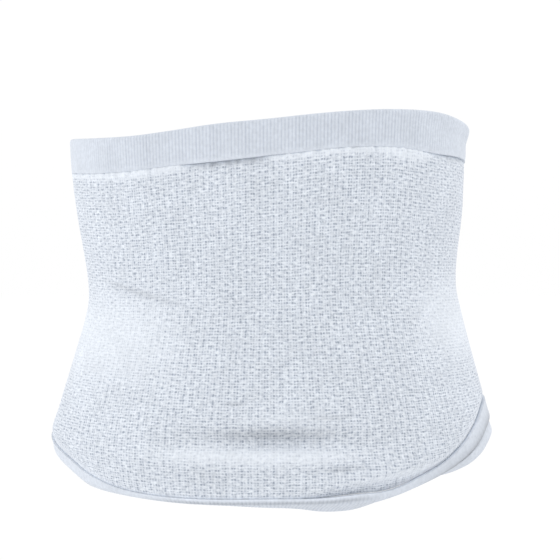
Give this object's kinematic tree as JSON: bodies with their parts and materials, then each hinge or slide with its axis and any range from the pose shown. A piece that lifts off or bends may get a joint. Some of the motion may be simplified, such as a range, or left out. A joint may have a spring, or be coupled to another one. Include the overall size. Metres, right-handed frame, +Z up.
{
  "type": "body wrap",
  "caption": "Seamless tubular knitted body wrap for the waist in its worn form: a pitted tuck-knit tube with a ribbed double band on top and a ribbed hem that turns under at the front.",
  "frame": {"origin": "on the tube's axis at the waist, the narrowest level, where the wearer's torso holds it", "axes": "+Z up along the torso, -Y to the wearer's front, +X across the hips to the right of the picture"},
  "size_m": [0.3269, 0.2391, 0.2673],
  "materials": {
    "tuck_knit": "matt pitted knit",
    "rib_knit": "matt fine rib knit"
  },
  "bodies": {
    "root": {"top_band": "rib_knit", "knit_body": "tuck_knit", "hem_band": "rib_knit"}
  },
  "joints": []
}
